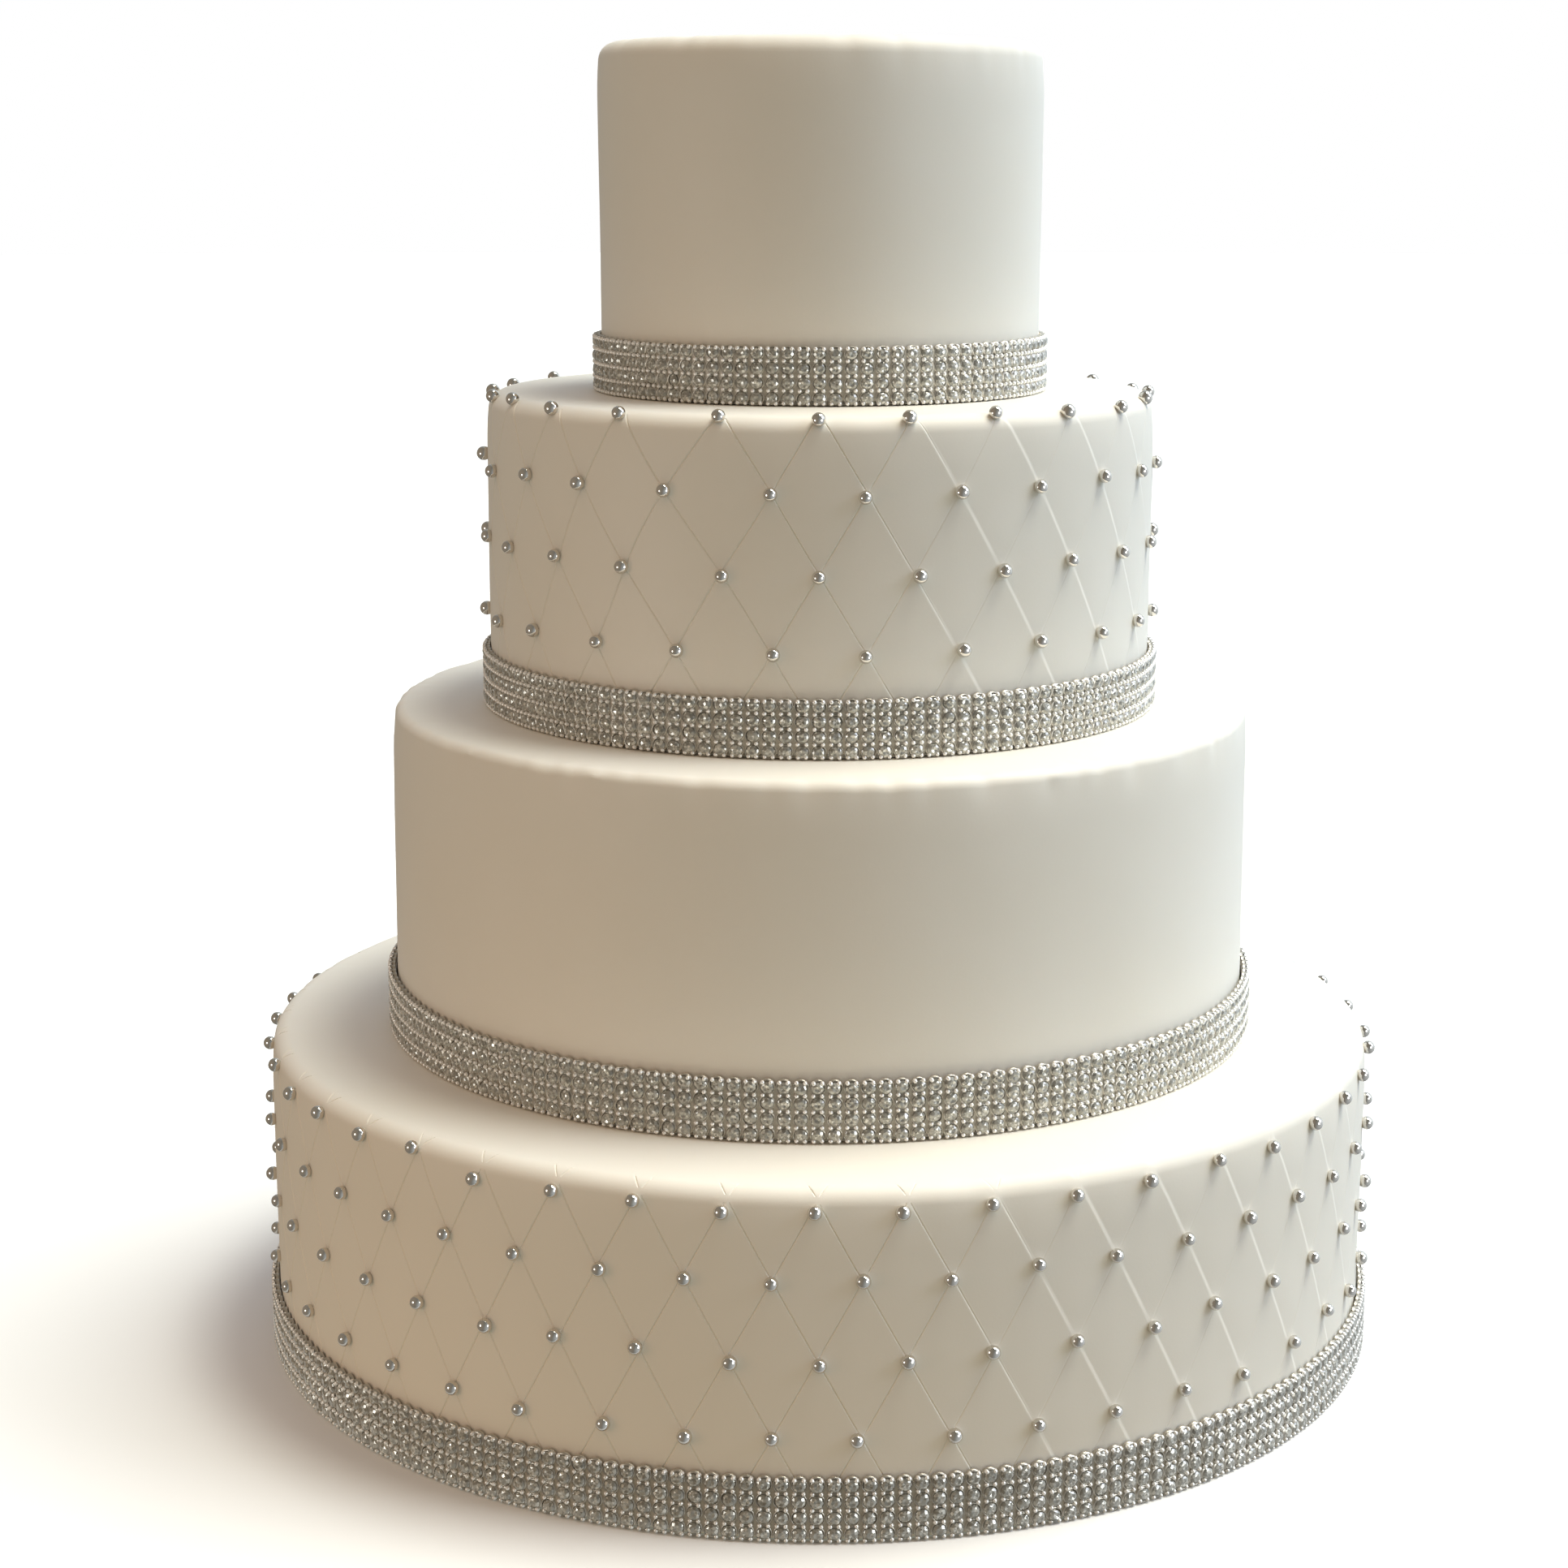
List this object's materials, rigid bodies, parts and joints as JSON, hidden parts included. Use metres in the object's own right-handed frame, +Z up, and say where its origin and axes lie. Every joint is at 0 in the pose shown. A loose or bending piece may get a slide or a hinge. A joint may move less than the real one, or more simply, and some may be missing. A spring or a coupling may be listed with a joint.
{
  "type": "tiered wedding cake",
  "caption": "Round tiered wedding cake in white fondant, with quilted tiers dotted with silver dragees and a rhinestone band round the foot of each tier.",
  "frame": {"origin": "centre of the base tier's flat foot, on the surface that the cake stands on", "axes": "+Z up along the cake's axis; -Y is the front"},
  "size_m": [0.4018, 0.402, 0.4545],
  "materials": {
    "fondant": "smooth rolled white fondant, satin",
    "rhinestone": "clear crystal stones in bright silver cups",
    "dragee": "polished silver sugar balls"
  },
  "bodies": {
    "root": {"base_tier": "fondant", "base_band": "rhinestone", "lower_tier": "fondant", "lower_band": "rhinestone", "upper_tier": "fondant", "upper_band": "rhinestone", "top_tier": "fondant", "top_band": "rhinestone"}
  },
  "joints": []
}
